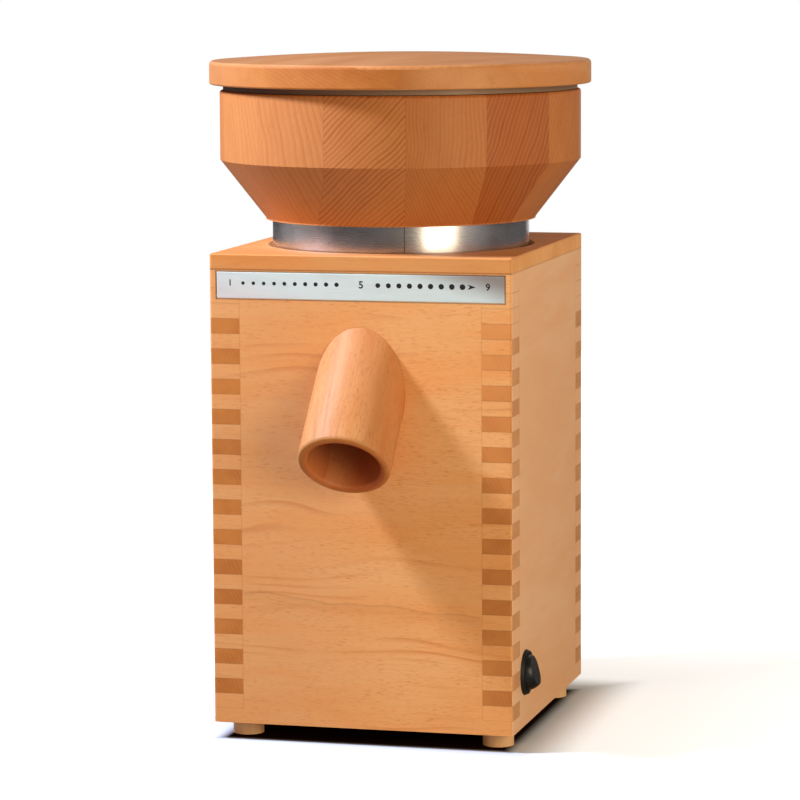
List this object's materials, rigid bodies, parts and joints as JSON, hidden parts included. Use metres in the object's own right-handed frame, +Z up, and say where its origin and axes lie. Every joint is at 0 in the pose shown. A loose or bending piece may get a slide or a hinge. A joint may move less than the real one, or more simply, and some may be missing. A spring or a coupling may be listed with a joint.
{
  "type": "electric grain mill",
  "caption": "Upright wooden kitchen grain mill: finger-jointed case, slanted flour spout, round lidded hopper on a steel collar, scale plate and side rocker switch.",
  "frame": {"origin": "on the floor plane under the axis that the millstones, the hopper and the lid share, which is also the middle of the four feet", "axes": "+Z up, +Y to the back, +X to the right: the spout points to the front, -Y, and the switch is on the right face, +X"},
  "size_m": [0.2268, 0.2625, 0.3993],
  "materials": {
    "beech_front": "oiled beech, horizontal grain",
    "beech_side": "oiled beech, paler side boards",
    "beech_turned": "turned beech, satin",
    "beech_staves": "beech glued from staves, satin",
    "beech_lid": "beech, oiled",
    "brushed_steel": "brushed",
    "zinc_steel": "zinc plated",
    "spring_steel": "drawn wire",
    "bearing_steel": "ground",
    "core_steel": "laminated sheet",
    "cast_aluminium": "cast and turned",
    "copper_enamel": "enamelled copper wire",
    "millstone": "corundum and ceramic, rough",
    "felt": "felt",
    "lid_band_steel": "satin",
    "pale_plastic": "matte",
    "black_plastic": "satin",
    "black_gloss": "gloss",
    "wire_insulation": "satin"
  },
  "bodies": {
    "root": {"front_panel": "beech_front", "back_panel": "beech_front", "left_panel": "beech_side", "right_panel": "beech_side", "top_board": "beech_front", "bottom_plate": "beech_side", "base_battens": "beech_side", "base_screws": "zinc_steel", "feet": "beech_side", "scale_plate": "brushed_steel", "spout": "beech_turned", "switch_body": "black_plastic", "cord_gland": "black_plastic", "gland_nut": "black_plastic", "mill_chamber": "cast_aluminium", "thread_ring": "cast_aluminium", "chamber_bolts": "zinc_steel", "guide_pins": "zinc_steel", "stone_springs": "spring_steel", "shaft_seal": "felt", "upper_end_shield": "cast_aluminium", "lower_end_shield": "cast_aluminium", "stator_core": "core_steel", "stator_windings": "copper_enamel", "motor_bolts": "zinc_steel", "upper_bearing": "bearing_steel", "lower_bearing": "bearing_steel", "capacitor": "pale_plastic", "capacitor_clip": "zinc_steel", "terminal_block": "pale_plastic", "switch_leads": "wire_insulation", "motor_leads": "wire_insulation", "capacitor_leads": "wire_insulation"},
    "rotor": {"motor_shaft": "bearing_steel", "rotor_core": "core_steel", "cooling_fan": "black_plastic", "stone_hub": "cast_aluminium", "lower_millstone": "millstone", "wiper_ring": "black_plastic", "shaft_bolt": "zinc_steel"},
    "upper_stone": {"upper_millstone": "millstone", "stone_carrier": "cast_aluminium"},
    "hopper": {"hopper_bowl": "beech_staves", "steel_collar": "brushed_steel", "thread_sleeve": "cast_aluminium", "finger_guard": "brushed_steel", "hopper_screws": "zinc_steel"},
    "lid": {"lid_disc": "beech_lid", "lid_ring": "lid_band_steel"},
    "rocker": {"switch_rocker": "black_gloss"}
  },
  "joints": [
    {"name": "rotor_spin", "type": "hinge", "parent": "root", "child": "rotor", "pos_m": [0, 0, 0.25], "axis": [0, 0, 1], "continuous": true},
    {"name": "stone_lift", "type": "slide", "parent": "root", "child": "upper_stone", "axis": [0, 0, 1], "range_m": [-0.0012, 0.0007], "deforming": ["stone_springs"]},
    {"name": "hopper_turn", "type": "hinge", "parent": "upper_stone", "child": "hopper", "pos_m": [0, 0, 0.27], "axis": [0, 0, 1], "range_deg": [-66, 34]},
    {"name": "lid_lift", "type": "slide", "parent": "hopper", "child": "lid", "axis": [0, 0, 1], "range_m": [0, 0.1]},
    {"name": "rocker_tilt", "type": "hinge", "parent": "root", "child": "rocker", "pos_m": [0.0905, -0.0627, 0.0415], "axis": [0, 1, 0], "range_deg": [0, 30]}
  ],
  "couplings": [
    {"joint": "stone_lift", "follows": "hopper_turn", "m_per_rad": 0.00095493}
  ]
}
